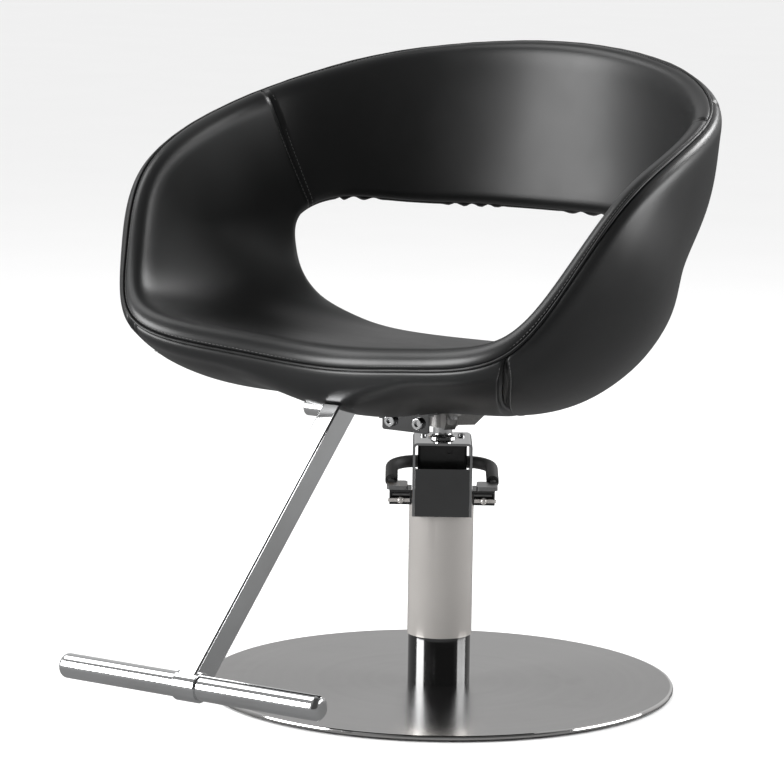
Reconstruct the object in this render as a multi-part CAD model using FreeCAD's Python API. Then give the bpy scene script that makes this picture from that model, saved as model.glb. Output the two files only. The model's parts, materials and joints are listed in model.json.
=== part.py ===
import FreeCAD, Part
import math
import os

# Hydraulic styling chair: round floor plate, fixed pump column, tub seat and footrest.
# Frame: origin at the centre of the floor plate's underside, +Z up, the seat faces -Y.
# All sizes are in millimetres.

V = FreeCAD.Vector
Z = V(0, 0, 1)

# ---------------------------------------------------------------- driving dimensions
RUN = 0.05                 # radial clearance of a shaft that turns or slides
GAP = 0.5                  # clearance between upholstered pieces

PLATE_R = 300.0            # floor plate
PLATE_TOP = 8.0
PAD_TOP = 2.0              # thickness of the rubber pad under the plate
SKIN = 1.2                 # stainless skin over the weight plate

LOWER_R, LOWER_WALL, LOWER_TOP = 39.8, 1.8, 78.0
SLEEVE_R, SLEEVE_WALL, SLEEVE_Z = 41.2, 1.2, (70.0, 240.0)
RESERVOIR_R, RESERVOIR_WALL = 36.0, 3.0
BARREL_R, BORE_R = 22.0, 17.0
BARREL_TOP = 222.0
FLANGE_TOP, NECK_Z = 18.0, 236.0   # pump flange, and the top of the oil reservoir
RAM_R, RAM_TOP = 12.3, 358.0
RAM_TAIL_R = 8.0
PISTON_Z = (40.0, 58.0)

HEAD_TURN = 33.2           # the pump head is turned this far round the column from the seat's front
HEAD_Z = (240.0, 246.0)    # round cover disc under the head block
BLOCK_HALF_X, BLOCK_Y, BLOCK_TOP = 31.0, (-19.0, 26.0), 320.0
YOKE_W, YOKE_T, YOKE_TOP = 75.0, 3.0, 323.0
YOKE_Y = (-50.0, 40.0)
YOKE_LOW, YOKE_SHOULDER = 229.0, 250.0

SHAFT_Y, SHAFT_Z, SHAFT_R = -38.0, 256.0, 5.0
PEDAL_SLOPE = 6.2          # the foot loop rises towards the back
PLUNGER_Y, PLUNGER_R, PLUNGER_TOP = -26.0, 3.5, 255.0
LOOP_HALF, LOOP_BEND, LOOP_BACK = 64.0, 32.0, 108.0
ROD_R, GRIP_R = 4.0, 8.0
LOOP_W = 12.0              # height of the loop's rod over the shaft

SPIDER_Z = (338.0, 368.0)
SPIDER_REACH = 55.0        # radius of the four seat bolts
BOARD = (300.0, 250.0, 12.0, 386.0)     # width, depth, thickness and underside of the board
BRACKET_BOLT = (24.0, -70.0)

FOOT_Y, FOOT_Z = -536.5, 100.2
FOOT_LEN, FOOT_R = 372.0, 15.0
ARM_TOP = (-224.0, 399.0)
ARM_W, ARM_D, ARM_WALL = 25.0, 35.0, 2.0
FOOT_PLATE_HALF, FOOT_PLATE_Y, FOOT_PLATE_Z = 32.0, (-246.0, -172.0), (396.0, 401.0)
FOOT_BOLT = (20.0, -184.0)
WOOD_TOP = 424.0

# ---------------------------------------------------------------- the tub's ribs
# One rib crosses the ring-shaped tub at each station, from its window edge to its rim.
# Stations run from the middle of the seat's front edge, round the right side, to the
# middle of the backrest; the left side is their mirror image.
# rim point, window-edge point, outward direction, bow, thickness at window, middle, rim
RIBS = [
    ((0, -248, 444), (0, 136, 410), (0, 0, -1), 6, 40, 76, 50),
    ((112, -264, 453), (88, 134, 411), (0.05, 0, -1), 6, 40, 76, 50),
    ((208, -281, 465), (165, 116, 420), (0.2, 0, -1), 6, 38, 78, 50),
    ((276, -271, 491), (213, 90, 440), (0.5, 0, -0.87), 10, 36, 68, 46),
    ((314, -229, 550), (248, 64, 468), (0.8, 0.1, -0.6), 19, 36, 59, 42),
    ((339, -180, 618), (274, 52, 505), (0.93, 0.1, -0.35), 18, 36, 55, 40),
    ((348, -100, 671), (285, 52, 546), (0.95, 0.2, -0.2), 10, 34, 46, 42),
    ((337, 30, 712), (290, 80, 588), (0.9, 0.4, -0.1), 3, 30, 42, 40),
    ((297, 127, 743), (264, 144, 611), (0.8, 0.6, 0), 2, 30, 38, 38),
    ((222, 198, 771), (197, 200, 610), (0.55, 0.85, 0), 5, 36, 42, 36),
    ((114, 248, 788), (102, 234, 610), (0.3, 0.95, 0), 5, 36, 44, 36),
    ((0, 264, 794), (0, 244, 610), (0, 1, 0), 5, 36, 44, 36),
]
BACK_MID = len(RIBS) - 1            # station at the middle of the backrest
STATIONS = 2 * BACK_MID             # stations once round the ring
SEAM_BACK = 7.35                    # seams between seat and backrest, inner face
SEAM_FRONT = 2.85                   # seams between front and side panels, outer face
SEAM_REAR = 8.0                     # seams between side and back panels, outer face
FOAM_JOINT = 3.6                    # glued joints between seat and arms, in the foam and the shell
SHELL_HALF = 5.0                    # half the thickness of the moulded shell


# ---------------------------------------------------------------- helpers
def tube(outer, inner, z0, z1):
    """Plain tube on the Z axis."""
    return disc(outer, z0, z1).cut(disc(inner, z0 - 1, z1 + 1))


def disc(radius, z0, z1, x=0.0, y=0.0):
    return Part.makeCylinder(radius, z1 - z0, V(x, y, z0))


def block(x0, x1, y0, y1, z0, z1):
    return Part.makeBox(x1 - x0, y1 - y0, z1 - z0, V(x0, y0, z0))


def rod_x(radius, x0, x1, y, z):
    return Part.makeCylinder(radius, x1 - x0, V(x0, y, z), V(1, 0, 0))


def fuse(shapes):
    whole = shapes[0].multiFuse(shapes[1:]) if len(shapes) > 1 else shapes[0]
    return whole.removeSplitter()


def spun(points):
    """Solid of revolution about Z from a closed outline of (radius, height) points."""
    wire = Part.makePolygon([V(r, 0, z) for r, z in points + points[:1]])
    return Part.Face(wire).revolve(V(), Z, 360)


def around(shape, count, first=0.0):
    """Copies of a shape spaced evenly about the Z axis."""
    copies = []
    for i in range(count):
        copy = shape.copy()
        copy.rotate(V(), Z, first + 360.0 * i / count)
        copies.append(copy)
    return copies


def mirrored(shape):
    return [shape, shape.mirror(V(), V(1, 0, 0))]


def turned(shape):
    """From the pump head's own frame (x right, y back) to the chair's frame."""
    shape.rotate(V(), Z, HEAD_TURN)
    return shape


# ---------------------------------------------------------------- floor plate and column
def floor_plate():
    bolt_ring, bolt_r, head_r, head_z = 28.0, 4.0, 7.0, 6.0
    holes = around(disc(bolt_r + 0.2, 0, 20, bolt_ring), 4)
    sinks = around(disc(head_r + 0.3, 0, head_z + 0.1, bolt_ring), 4)
    pad = disc(PLATE_R - 8, 0, PAD_TOP)
    edge = SKIN
    weight = spun([(0, PAD_TOP), (PLATE_R - edge - 1, PAD_TOP), (PLATE_R - edge, PAD_TOP + 1),
                   (PLATE_R - edge, PLATE_TOP - edge - 1), (PLATE_R - edge - 1, PLATE_TOP - edge),
                   (0, PLATE_TOP - edge)])
    skin = spun([(0, PLATE_TOP - edge), (PLATE_R - edge - 1, PLATE_TOP - edge),
                 (PLATE_R - edge, PLATE_TOP - edge - 1), (PLATE_R - edge, PAD_TOP + 1),
                 (PLATE_R - edge / 2, PAD_TOP + 0.6), (PLATE_R, PAD_TOP + 1.4),
                 (PLATE_R, PLATE_TOP - 2.4), (PLATE_R - 0.8, PLATE_TOP - 0.8),
                 (PLATE_R - 2.6, PLATE_TOP), (0, PLATE_TOP)])
    bolt = fuse([disc(head_r, PAD_TOP + 0.4, head_z, bolt_ring), disc(bolt_r, head_z, 17, bolt_ring)])
    flange = disc(37, PLATE_TOP, FLANGE_TOP).cut(fuse(around(disc(bolt_r + RUN, 0, 20, bolt_ring), 4)))
    return {
        "floor_pad": pad,
        "base_weight_plate": weight.cut(Part.makeCompound(holes + sinks)),
        "base_cover_skin": skin.cut(Part.makeCompound(holes)),
        "base_bolts": Part.makeCompound(around(bolt, 4)),
        "pump_flange": flange,
    }


def column():
    lower = tube(LOWER_R, LOWER_R - LOWER_WALL, PLATE_TOP, LOWER_TOP)
    sleeve = tube(SLEEVE_R, SLEEVE_R - SLEEVE_WALL, *SLEEVE_Z)
    reservoir = tube(RESERVOIR_R, RESERVOIR_R - RESERVOIR_WALL, FLANGE_TOP, NECK_Z)
    barrel = tube(BARREL_R, BORE_R, FLANGE_TOP, BARREL_TOP)
    foot = tube(BARREL_R + 4, BARREL_R, FLANGE_TOP, FLANGE_TOP + 8)
    return {
        "lower_tube": lower,
        "upper_sleeve": sleeve,
        "pump_reservoir": reservoir,
        "pump_barrel": barrel,
        "barrel_foot_ring": foot,
    }


def pump_piston():
    low, high = PISTON_Z
    groove = (low + 6, low + 11)
    body = disc(BORE_R - RUN, low, high)
    body = body.cut(tube(BORE_R + 1, 14, *groove))
    body = body.cut(disc(RAM_TAIL_R + RUN, low + 8, high + 1))
    seal = tube(BORE_R - 0.02, 14, groove[0] + 0.1, groove[1] - 0.1)
    return {"piston": body, "piston_seal": seal}


def ram():
    tail = disc(RAM_TAIL_R, PISTON_Z[0] + 8.1, PISTON_Z[1] + 1)
    rod = disc(RAM_R, PISTON_Z[1] + RUN, RAM_TOP)
    return {"ram": fuse([tail, rod])}


# ---------------------------------------------------------------- pump head
def head_block():
    spigot = disc(RESERVOIR_R - RESERVOIR_WALL - 0.1, BARREL_TOP, NECK_Z)
    neck = disc(RESERVOIR_R, NECK_Z, HEAD_Z[0])
    cover = disc(SLEEVE_R, *HEAD_Z)
    body = block(-BLOCK_HALF_X, BLOCK_HALF_X, *BLOCK_Y, HEAD_Z[1] - 1, BLOCK_TOP)
    body = body.makeFillet(4, [e for e in body.Edges if abs(e.tangentAt(e.FirstParameter).z) > 0.9])
    solid = fuse([spigot, neck, cover, body])
    solid = solid.cut(disc(RAM_R + 0.3, 200, 330))
    solid = solid.cut(disc(15.0, 292, 330))
    solid = solid.cut(disc(PLUNGER_R + RUN, 236.5, 250, 0, PLUNGER_Y))
    solid = solid.cut(Part.makeCompound(mirrored(disc(2.5, 306, 330, 24, 12))))
    bush = tube(15.0, RAM_R + RUN, 292, BLOCK_TOP)
    return {"head_block": solid, "ram_bush": bush}


def head_yoke():
    half = YOKE_W / 2
    cheek = Part.makePolygon([V(half, YOKE_Y[0], YOKE_LOW), V(half, -26, YOKE_LOW),
                              V(half, -26, YOKE_SHOULDER), V(half, YOKE_Y[1], YOKE_SHOULDER),
                              V(half, YOKE_Y[1], YOKE_TOP), V(half, YOKE_Y[0], YOKE_TOP),
                              V(half, YOKE_Y[0], YOKE_LOW)])
    prism = Part.Face(cheek).extrude(V(-YOKE_W, 0, 0))
    top_edges = [e for e in prism.Edges if abs(e.tangentAt(e.FirstParameter).y) > 0.9
                 and e.BoundBox.ZMin > YOKE_TOP - 1]
    prism = prism.makeFillet(6, top_edges)
    inner = block(-half + YOKE_T, half - YOKE_T, YOKE_Y[0] - 1, YOKE_Y[1] + 1, YOKE_LOW - 1, YOKE_TOP - YOKE_T)
    inner = inner.makeFillet(3, [e for e in inner.Edges if abs(e.tangentAt(e.FirstParameter).y) > 0.9
                                 and e.BoundBox.ZMin > YOKE_TOP - YOKE_T - 1])
    yoke = prism.cut(inner)
    yoke = yoke.cut(rod_x(SHAFT_R + 2, -50, 50, SHAFT_Y, SHAFT_Z))
    yoke = yoke.cut(disc(16, 300, 340))
    yoke = yoke.cut(Part.makeCompound(mirrored(disc(3.2, 300, 340, 24, 12))))
    bearing = rod_x(SHAFT_R + 2, half - YOKE_T - 0.5, half + 0.4, SHAFT_Y, SHAFT_Z)
    bearing = bearing.cut(rod_x(SHAFT_R + RUN, 20, 50, SHAFT_Y, SHAFT_Z))
    collar = spun([(RAM_R + 0.3, 328), (14.5, 328), (16, 325.5), (18.5, 324.6), (18.5, YOKE_TOP),
                   (15.9, YOKE_TOP), (15.9, BLOCK_TOP), (14.4, BLOCK_TOP), (14.4, 324.5),
                   (RAM_R + 0.3, 324.5)])
    wiper = tube(14.4, RAM_R + 0.02, BLOCK_TOP + 0.1, 324.5)
    screw = fuse([disc(2.5, 307, YOKE_TOP, 24, 12), disc(4.5, YOKE_TOP, YOKE_TOP + 3, 24, 12)])
    screw = screw.cut(Part.makeCompound([hex_socket(24, 12, YOKE_TOP + 1.4, 2.2, 3)]))
    return {
        "head_yoke": yoke,
        "shaft_bearings": Part.makeCompound(mirrored(bearing)),
        "ram_collar": collar,
        "ram_wiper": wiper,
        "yoke_screws": Part.makeCompound(mirrored(screw)),
    }


def hex_socket(x, y, z, apothem, depth):
    """Prism that cuts a hexagon socket, opening upwards from z."""
    radius = apothem / math.cos(math.pi / 6)
    corners = [V(x + radius * math.cos(i * math.pi / 3), y + radius * math.sin(i * math.pi / 3), z)
               for i in range(7)]
    return Part.Face(Part.makePolygon(corners)).extrude(V(0, 0, depth))


def front_plate():
    """Dished chrome plate that closes the lower front of the yoke."""
    half = YOKE_W / 2 - YOKE_T - 0.1
    low, top, depth, sheet = YOKE_LOW, 290.0, 8.3, 1.6
    outer = block(-half, half, YOKE_Y[0] + 0.5, YOKE_Y[0] + depth, low, top)
    hollow = block(-half + sheet, half - sheet, YOKE_Y[0] + 0.5 + sheet, YOKE_Y[0] + depth + 1,
                   low + sheet, top + 1)
    plate = outer.cut(hollow)
    reach = rod_x(7.6, -half - 1, half + 1, SHAFT_Y, SHAFT_Z)
    return {"head_front_plate": plate.cut(reach)}


def release_plate():
    y0, y1 = BLOCK_Y[0] - 2.5, BLOCK_Y[0]
    outline = Part.makePolygon([V(-20, y1, 318), V(30, y1, 318), V(14, y1, 298), V(9, y1, 298), V(-20, y1, 318)])
    plate = Part.Face(outline).extrude(V(0, y0 - y1, 0))
    hole = Part.makeCylinder(4, 10, V(9, y0 - 4, 309), V(0, 1, 0))
    return {"release_plate": plate.cut(hole)}


# ---------------------------------------------------------------- pump pedal
def pedal_place(shape):
    """From the pedal's flat frame (origin on the shaft) to the head, then to the chair."""
    shape.rotate(V(), V(1, 0, 0), PEDAL_SLOPE)
    shape.translate(V(0, SHAFT_Y, SHAFT_Z))
    return turned(shape)


def loop_path(start):
    """Centre line of the foot loop: two straight sides, two round corners and the back."""
    straight = LOOP_BACK - LOOP_BEND
    lean = LOOP_BEND * (1 - math.sqrt(0.5))
    w = LOOP_W
    right = [V(LOOP_HALF, start, w), V(LOOP_HALF, straight, w), V(LOOP_HALF - lean, LOOP_BACK - lean, w),
             V(LOOP_HALF - LOOP_BEND, LOOP_BACK, w)]
    left = [V(-p.x, p.y, p.z) for p in right]
    edges = [Part.LineSegment(right[0], right[1]).toShape(),
             Part.Arc(right[1], right[2], right[3]).toShape(),
             Part.LineSegment(right[3], left[3]).toShape(),
             Part.Arc(left[3], left[2], left[1]).toShape(),
             Part.LineSegment(left[1], left[0]).toShape()]
    return Part.Wire(edges)


def swept_loop(radius, start):
    ring = Part.Wire([Part.makeCircle(radius, V(LOOP_HALF, start, LOOP_W), V(0, 1, 0))])
    return loop_path(start).makePipeShell([ring], True, False)


def pedal():
    half = YOKE_W / 2
    inner_x, outer_x = half + 0.8, half + 29
    shaft = rod_x(SHAFT_R, -outer_x + 4, outer_x - 4, 0, 0)
    housing = block(inner_x, outer_x, -10, 14, -11, 8)
    housing = housing.cut(block(inner_x + 2, outer_x - 2, -11, -4, -8.5, 5.5))
    housing = housing.cut(rod_x(SHAFT_R, 0, outer_x - 4, 0, 0))
    strap = block(inner_x + 2.2, outer_x + 1.5, -11.2, -8.6, -7.4, -3.0)
    strap = strap.cut(block(outer_x - 2.2, outer_x + 3, -10.1, -8, -9, 0))
    dome_x = (inner_x + outer_x) / 2
    screw = Part.makeSphere(4.2, V(), Z, 0, 90, 360)
    screw.rotate(V(), V(1, 0, 0), 90)
    screw.translate(V(dome_x, -11.2, -5.2))
    stem = Part.makeCylinder(1.6, 7, V(dome_x, -11.2, -5.2), V(0, 1, 0))
    strap = strap.cut(Part.makeCylinder(1.6, 9, V(dome_x, -13, -5.2), V(0, 1, 0)))
    flat = block(half + 6, LOOP_HALF + 6, -10, 16, 8, 13)
    flat = flat.makeFillet(4, [e for e in flat.Edges if abs(e.tangentAt(e.FirstParameter).z) > 0.9])
    rod = fuse([swept_loop(ROD_R, 10)] + mirrored(flat))
    grip = swept_loop(GRIP_R, 18).cut(swept_loop(ROD_R + 0.02, 17))
    hub = rod_x(7, -9, 9, 0, 0)
    finger = block(-8, 8, 0, 15, -2.1, 4)
    cam = fuse([hub, finger]).cut(rod_x(SHAFT_R, -20, 20, 0, 0))
    nodes = {
        "pedal_shaft": shaft,
        "pedal_housings": Part.makeCompound(mirrored(housing)),
        "pedal_straps": Part.makeCompound(mirrored(strap)),
        "pedal_screws": Part.makeCompound(mirrored(fuse([screw, stem]))),
        "pedal_rod": rod,
        "pedal_grip": grip,
        "pedal_cam": cam,
    }
    return {name: pedal_place(shape) for name, shape in nodes.items()}


def plunger():
    pin = disc(PLUNGER_R, 240.5, PLUNGER_TOP - 2.5, 0, PLUNGER_Y)
    button = disc(4.4, PLUNGER_TOP - 2.5, PLUNGER_TOP - 0.4, 0, PLUNGER_Y)
    spring = tube(5.2, 3.8, HEAD_Z[1] + 0.05, PLUNGER_TOP - 2.55).translate(V(0, PLUNGER_Y, 0))
    return {"plunger": turned(fuse([pin, button])), "plunger_spring": turned(spring)}


# ---------------------------------------------------------------- seat mounting
def seat_spider():
    low, high = SPIDER_Z
    hub = disc(19, low, high - 4).cut(disc(RAM_R, low - 1, RAM_TOP))
    arm = Part.makePolygon([V(0, 0, low + 1), V(40, 0, low + 1), V(62, 0, high - 8), V(62, 0, high),
                            V(0, 0, high), V(0, 0, low + 1)])
    arm = Part.Face(arm).extrude(V(0, 14, 0))
    arm.translate(V(0, -7, 0))
    pad = disc(11, high - 8, high, SPIDER_REACH)
    bolt_hole = disc(4.2, low - 10, high + 10, SPIDER_REACH)
    spider = fuse([hub] + around(fuse([arm, pad]), 4, 45))
    spider = spider.cut(Part.makeCompound(around(bolt_hole, 4, 45) + [disc(RAM_R, low - 1, RAM_TOP)]))
    board_z = BOARD[3]
    spacer = tube(9, 4.2, high, board_z).translate(V(SPIDER_REACH, 0, 0))
    relief = fuse(around(disc(7.5, low - 5, high - 8, SPIDER_REACH), 4, 45))
    spider = spider.cut(relief)
    bolt = fuse([disc(4, high - 8, board_z + 11, SPIDER_REACH),
                 disc(6.5, high - 13, high - 8, SPIDER_REACH).cut(hex_socket(SPIDER_REACH, 0, high - 14, 3, 4))])
    nut = fuse([disc(5.6, board_z, board_z + 12, SPIDER_REACH), disc(11, board_z + 12, board_z + 13.5, SPIDER_REACH)])
    nut = nut.cut(disc(4, board_z - 1, board_z + 20, SPIDER_REACH))
    return {
        "seat_spider": spider,
        "spider_bolts": Part.makeCompound(around(bolt, 4, 45)),
        "spider_spacers": Part.makeCompound(around(spacer, 4, 45)),
        "tee_nuts": Part.makeCompound(around(nut, 4, 45)),
    }


def seat_board():
    wide, deep, thick, low = BOARD
    board = block(-wide / 2, wide / 2, -deep / 2 - 20, deep / 2 - 20, low, low + thick)
    board = board.makeFillet(40, [e for e in board.Edges if abs(e.tangentAt(e.FirstParameter).z) > 0.9])
    holes = around(disc(5.6, low - 1, low + thick + 1, SPIDER_REACH), 4, 45)
    holes += mirrored(disc(3, low - 1, low + thick + 1, *BRACKET_BOLT))
    return {"seat_board": board.cut(Part.makeCompound(holes))}


def front_bracket():
    """Angle bracket under the seat with its two socket screws."""
    y, half, sheet, screw_x = -88.0, 34.0, 4.0, 20.5
    low, high = 341.5, 367.5
    leg = block(-half, half, y, y + sheet, low, high)
    leg = leg.makeFillet(3, [e for e in leg.Edges if abs(e.tangentAt(e.FirstParameter).y) > 0.9
                             and e.BoundBox.ZMax < low + 1])
    shelf = block(-half, half, y, y + 26, high - sheet, high)
    wing = block(-half - 9, -half, y + 6, y + 20, high - 14, high - 1)
    bracket = fuse([leg, shelf, wing])
    screw_z = (low + high) / 2 - 1
    hole = Part.makeCylinder(4, 20, V(screw_x, y - 5, screw_z), V(0, 1, 0))
    head = Part.makeCylinder(7.6, 5.5, V(screw_x, y - 5.5, screw_z), V(0, 1, 0))
    head = head.makeFillet(1.2, [e for e in head.Edges if e.BoundBox.YMax < y - 5])
    socket = Part.makeCylinder(3.8, 3.5, V(screw_x, y - 6, screw_z), V(0, 1, 0))
    shank = Part.makeCylinder(4, 11, V(screw_x, y, screw_z), V(0, 1, 0))
    screw = fuse([head, shank]).cut(socket)
    nut = Part.makeCylinder(6.5, 5, V(screw_x, y + sheet, screw_z), V(0, 1, 0))
    nut = nut.cut(Part.makeCylinder(4, 9, V(screw_x, y + sheet - 1, screw_z), V(0, 1, 0)))
    board_z = BOARD[3]
    mount = fuse([disc(5.5, high - sheet - 3.5, high - sheet, *BRACKET_BOLT),
                  disc(3, high - sheet, board_z + 10, *BRACKET_BOLT)])
    spacer = tube(7, 3, high, board_z).translate(V(*BRACKET_BOLT, 0))
    holes = mirrored(hole) + mirrored(disc(3, low, high + 1, *BRACKET_BOLT))
    return {
        "front_bracket": bracket.cut(Part.makeCompound(holes)),
        "bracket_mount_screws": Part.makeCompound(mirrored(mount)),
        "bracket_spacers": Part.makeCompound(mirrored(spacer)),
        "bracket_screws": Part.makeCompound(mirrored(screw)),
        "bracket_nuts": Part.makeCompound(mirrored(nut)),
    }


# ---------------------------------------------------------------- footrest
def arm_box(width, depth, extend):
    """Straight box along the footrest arm, from the bar to the seat."""
    foot, top = V(0, FOOT_Y, FOOT_Z), V(0, *ARM_TOP)
    along = (top - foot).normalize()
    length = (top - foot).Length + extend
    box = block(-width / 2, width / 2, -depth / 2, depth / 2, 0, length)
    tilt = math.degrees(math.atan2(along.y, along.z))
    box.rotate(V(), V(1, 0, 0), -tilt)
    box.translate(foot)
    return box


def footrest():
    half = FOOT_LEN / 2
    arm = arm_box(ARM_W, ARM_D, 0)
    long_edges = [e for e in arm.Edges if e.Length > 300]
    arm = arm.makeFillet(2.5, long_edges)
    bore = arm_box(ARM_W - 2 * ARM_WALL, ARM_D - 2 * ARM_WALL, 5)
    saddle = rod_x(FOOT_R + 3.05, -60, 60, FOOT_Y, FOOT_Z)
    top_trim = block(-60, 60, ARM_TOP[0] - 60, ARM_TOP[0] + 60, FOOT_PLATE_Z[0], ARM_TOP[1] + 60)
    arm = arm.cut(Part.makeCompound([bore])).cut(saddle).cut(top_trim)
    collar = rod_x(FOOT_R + 3, -16, 16, FOOT_Y, FOOT_Z)
    collar = collar.makeFillet(1.2, [e for e in collar.Edges if e.Length > 50])
    collar = collar.cut(rod_x(FOOT_R, -20, 20, FOOT_Y, FOOT_Z))
    wall = 2.0
    cap_x = half - 12
    bar = rod_x(FOOT_R, -cap_x, cap_x, FOOT_Y, FOOT_Z).cut(rod_x(FOOT_R - wall, -half, half, FOOT_Y, FOOT_Z))
    cap = rod_x(FOOT_R, cap_x, half, FOOT_Y, FOOT_Z)
    cap = cap.makeFillet(8, [e for e in cap.Edges if e.BoundBox.XMin > half - 1])
    cap = fuse([cap, rod_x(FOOT_R - wall, cap_x - 12, cap_x, FOOT_Y, FOOT_Z)])
    low, high = FOOT_PLATE_Z
    plate = block(-FOOT_PLATE_HALF, FOOT_PLATE_HALF, *FOOT_PLATE_Y, low, high)
    plate = plate.makeFillet(6, [e for e in plate.Edges if abs(e.tangentAt(e.FirstParameter).z) > 0.9])
    wood = block(-FOOT_PLATE_HALF, FOOT_PLATE_HALF, *FOOT_PLATE_Y, high, WOOD_TOP)
    stub = rod_x(10.5, -52, -ARM_W / 2, ARM_TOP[0] - 4, low - 10.6)
    stub = stub.makeFillet(3, [e for e in stub.Edges if e.BoundBox.XMax < -51])
    bolt = fuse([disc(3, low, WOOD_TOP - 5, *FOOT_BOLT), disc(6, low - 4, low, *FOOT_BOLT)])
    holes = mirrored(disc(3, low - 5, WOOD_TOP - 5, *FOOT_BOLT))
    return {
        "footrest_arm": arm,
        "footrest_collar": collar,
        "footrest_bar": bar,
        "footrest_end_caps": Part.makeCompound(mirrored(cap)),
        "footrest_seat_plate": plate.cut(Part.makeCompound(holes)),
        "footrest_wood_block": wood.cut(Part.makeCompound(holes)),
        "footrest_lock_stub": stub,
        "footrest_plate_bolts": Part.makeCompound(mirrored(bolt)),
    }


# ---------------------------------------------------------------- upholstered tub
def ring_spline(values):
    """Periodic cubic through one value per station; returns a function of the station."""
    bend = [0.0] * STATIONS
    for _ in range(60):                     # the system is diagonally dominant, so this settles
        for i in range(STATIONS):
            before, after = (i - 1) % STATIONS, (i + 1) % STATIONS
            turn = values[before] - 2 * values[i] + values[after]
            bend[i] = (6 * turn - bend[before] - bend[after]) / 4

    def value(station):
        i = math.floor(station) % STATIONS
        j = (i + 1) % STATIONS
        t = station - math.floor(station)
        sag = t * (1 - t) * ((2 - t) * bend[i] + (1 + t) * bend[j]) / 6
        return (1 - t) * values[i] + t * values[j] - sag

    return value


def ring_rows():
    """Every number of the rib table as a spline round the whole ring."""
    right = [list(rim) + list(window) + list(outward) + shape for rim, window, outward, *shape in RIBS]
    left = [[-row[0]] + row[1:3] + [-row[3]] + row[4:6] + [-row[6]] + row[7:] for row in right[1:-1]]
    rows = right + left[::-1]
    return [ring_spline([row[i] for row in rows]) for i in range(len(rows[0]))]


RING = ring_rows()


class Rib:
    """One planar section of the tub, at a station anywhere round the ring."""

    def __init__(self, station):
        number = [spline(station % STATIONS) for spline in RING]
        rim, window, outward = V(*number[0:3]), V(*number[3:6]), V(*number[6:9])
        self.window, self.length = window, (rim - window).Length
        self.along = (rim - window) / self.length
        across = outward - self.along * outward.dot(self.along)
        self.across = across / across.Length
        self.bow, self.window_t, self.middle_t, self.rim_t = number[9:13]

    def middle(self, s):
        """Point on the middle line, and the direction square to it, at s from 0 to 1."""
        bulge = 4 * self.bow * s * (1 - s)
        point = self.window + self.along * (s * self.length) + self.across * bulge
        slope = 4 * self.bow * (1 - 2 * s)
        normal = self.across * self.length - self.along * slope
        return point, normal / normal.Length

    def reach(self, s):
        """Distances from the middle line to the inner and the outer face."""
        edge = self.window_t * (1 - s) + self.rim_t * s
        swell = math.sin(math.pi * s ** 1.5) ** 0.6 if 0 < s < 1 else 0.0
        return edge / 2, edge * (1 - swell) + self.middle_t * swell - edge / 2

    def at(self, s, height):
        point, normal = self.middle(s)
        return point + normal * height

    def roll(self, s, degrees):
        """Point on the rounded end at s = 0 or 1; 0 degrees is the inner face, 180 the outer."""
        point, normal = self.middle(s)
        radius = self.reach(s)[0]
        side = normal.cross(self.across.cross(self.along)).normalize()
        if side.dot(self.along) < 0:
            side = side * -1
        outward = side if s == 1 else side * -1
        angle = math.radians(degrees)
        return point + outward * (radius * math.sin(angle)) - normal * (radius * math.cos(angle))


FACE_STEPS = [0.5 - 0.5 * math.cos(math.pi * i / 16) for i in range(17)]     # closer at the ends
LIP = 0.13                  # the shell stops this far short of the window edge and the rim


def core_line(rib, side, clearance):
    """Points along the shell's side of a cushion, closing onto the middle line at both ends."""
    points = []
    for s in FACE_STEPS:
        edge = min(s, 1 - s) / (0.75 * LIP)
        ramp = min(edge, 1.0)
        ease = ramp * ramp * (3 - 2 * ramp)
        points.append(rib.at(s, side * (clearance + SHELL_HALF * ease)))
    return points


def closed_wire(face_points, core_points):
    face, core = Part.BSplineCurve(), Part.BSplineCurve()
    face.interpolate(face_points)
    core.interpolate(core_points)
    return Part.Wire([face.toShape(), Part.makeLine(face_points[-1], core_points[0]), core.toShape(),
                      Part.makeLine(core_points[-1], face_points[0])])


def inner_section(station):
    """Foam and skin on the sitter's side, with most of the rim's roll."""
    rib = Rib(station)
    window = [rib.roll(0, a) for a in (87, 60, 30)]
    face = [rib.at(s, -rib.reach(s)[0]) for s in FACE_STEPS]
    rim = [rib.roll(1, a) for a in (30, 60, 87)]
    core = core_line(rib, -1, GAP)
    return closed_wire(window + face + rim, list(reversed(core)))


def outer_section(station):
    """Foam and skin on the outside, from the window edge to the rim seam."""
    rib = Rib(station)
    window = [rib.roll(0, a) for a in (93, 120, 150)]
    face = [rib.at(s, rib.reach(s)[1]) for s in FACE_STEPS]
    rim = [rib.roll(1, a) for a in (150, 120, 93)]
    core = core_line(rib, 1, GAP)
    return closed_wire(window + face + rim, list(reversed(core)))


def shell_section(station):
    rib = Rib(station)
    steps = [LIP + (1 - 2 * LIP) * i / 8.0 for i in range(9)]
    inside = [rib.at(s, -SHELL_HALF) for s in steps]
    outside = [rib.at(s, SHELL_HALF) for s in reversed(steps)]
    return closed_wire(inside, outside)


def swept_panel(section, start, end, clearance=0.012):
    """Solid through the ribs' sections from one seam to the next, evenly spaced."""
    first, last = start + clearance, end - clearance
    count = round(3 * (last - first))
    return Part.makeLoft([section(first + (last - first) * i / count) for i in range(count + 1)],
                         True, False, False, 3)


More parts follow.
